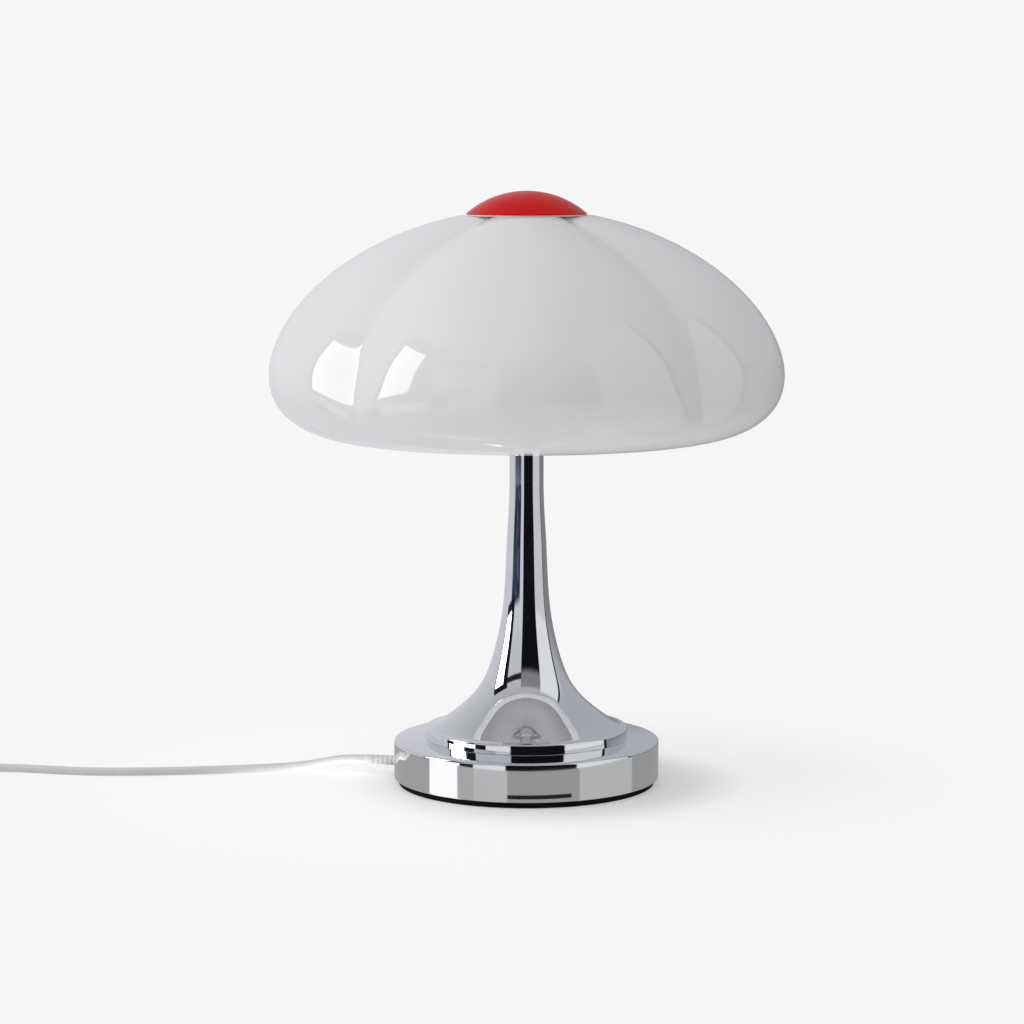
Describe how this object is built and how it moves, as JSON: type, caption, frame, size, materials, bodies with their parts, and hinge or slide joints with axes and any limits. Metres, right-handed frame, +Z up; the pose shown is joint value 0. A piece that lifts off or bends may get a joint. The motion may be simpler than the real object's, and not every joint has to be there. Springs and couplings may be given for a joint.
{
  "type": "mushroom table lamp",
  "caption": "Table lamp: lobed opal glass dome with a red cap on a chrome trumpet column and disc base, with mains cord, in-line switch and plug.",
  "frame": {"origin": "middle of the round base, on the surface that the lamp stands on", "axes": "+Z up along the column, -Y towards the viewer of the picture, cord leaves towards -X"},
  "size_m": [0.5946, 0.3, 0.3477],
  "materials": {
    "opal_glass": "polished opal glass, hardly see-through",
    "bulb_glass": "opal bulb glass",
    "red_gloss": "polished red",
    "chrome": "mirror polish",
    "black_rubber": "matt",
    "clear_rubber": "soft, milky",
    "zinc_steel": "zinc-plated",
    "cast_weight": "raw casting",
    "white_plastic": "fine moulded texture",
    "cord_plastic": "soft flexible plastic",
    "insulator": "hard moulded insulator",
    "brass": "plain",
    "nickel": "nickel-plated",
    "bulb_metal": "rolled"
  },
  "bodies": {
    "lamp": {"base_cover": "chrome", "base_plate": "zinc_steel", "base_screws": "zinc_steel", "base_weight": "cast_weight", "clamp_screws": "zinc_steel", "column": "chrome", "column_ring": "zinc_steel", "cord_bushing": "cord_plastic", "cord_clamp": "white_plastic", "cord_coil": "cord_plastic", "cord_lead": "cord_plastic", "cord_link": "cord_plastic", "cord_tail": "cord_plastic", "foot_pad": "black_rubber", "holder_block": "insulator", "holder_cap": "white_plastic", "holder_contact": "brass", "holder_screws": "brass", "holder_sleeve": "white_plastic", "holder_thread": "brass", "inner_cord": "cord_plastic", "nipple": "zinc_steel", "nipple_nuts": "zinc_steel", "plug_body": "white_plastic", "plug_boot": "cord_plastic", "plug_pins": "nickel", "rocker_pin": "zinc_steel", "seat_gasket": "clear_rubber", "shade_seat": "zinc_steel", "stud_nut": "zinc_steel", "switch_base": "white_plastic", "switch_contacts": "brass", "switch_cover": "white_plastic", "switch_screws": "zinc_steel", "top_stud": "zinc_steel", "yoke": "zinc_steel"},
    "bulb_tip": {"bulb_tip": "insulator"},
    "bulb": {"bulb_cap": "bulb_metal", "bulb_globe": "bulb_glass"},
    "shade": {"glass_shade": "opal_glass"},
    "cap_washer": {"cap_gasket": "clear_rubber"},
    "cap": {"red_cap": "red_gloss", "cap_insert": "brass"},
    "rocker": {"switch_rocker": "white_plastic"}
  },
  "joints": [
    {"name": "rocker_tip", "type": "hinge", "parent": "lamp", "child": "rocker", "pos_m": [-0.36, 0.02, 0.0121], "axis": [0, 1, 0], "range_deg": [0, 18]},
    {"name": "bulb_lift", "type": "slide", "parent": "lamp", "child": "bulb_tip", "axis": [0, 0, 1], "range_m": [0, 0.012]},
    {"name": "bulb_turn", "type": "hinge", "parent": "bulb_tip", "child": "bulb", "pos_m": [0, 0, 0.25], "axis": [0, 0, 1], "range_deg": [0, 1530]},
    {"name": "shade_lift", "type": "slide", "parent": "lamp", "child": "shade", "axis": [0, 0, 1], "range_m": [0, 0.14]},
    {"name": "cap_lift", "type": "slide", "parent": "shade", "child": "cap_washer", "axis": [0, 0, 1], "range_m": [0, 0.0071]},
    {"name": "cap_turn", "type": "hinge", "parent": "cap_washer", "child": "cap", "pos_m": [0, 0, 0.34], "axis": [0, 0, 1], "range_deg": [0, 2520]}
  ],
  "couplings": [
    {"joint": "bulb_lift", "follows": "bulb_turn", "m_per_rad": 0.00044882},
    {"joint": "cap_lift", "follows": "cap_turn", "m_per_rad": 0.00015915}
  ]
}
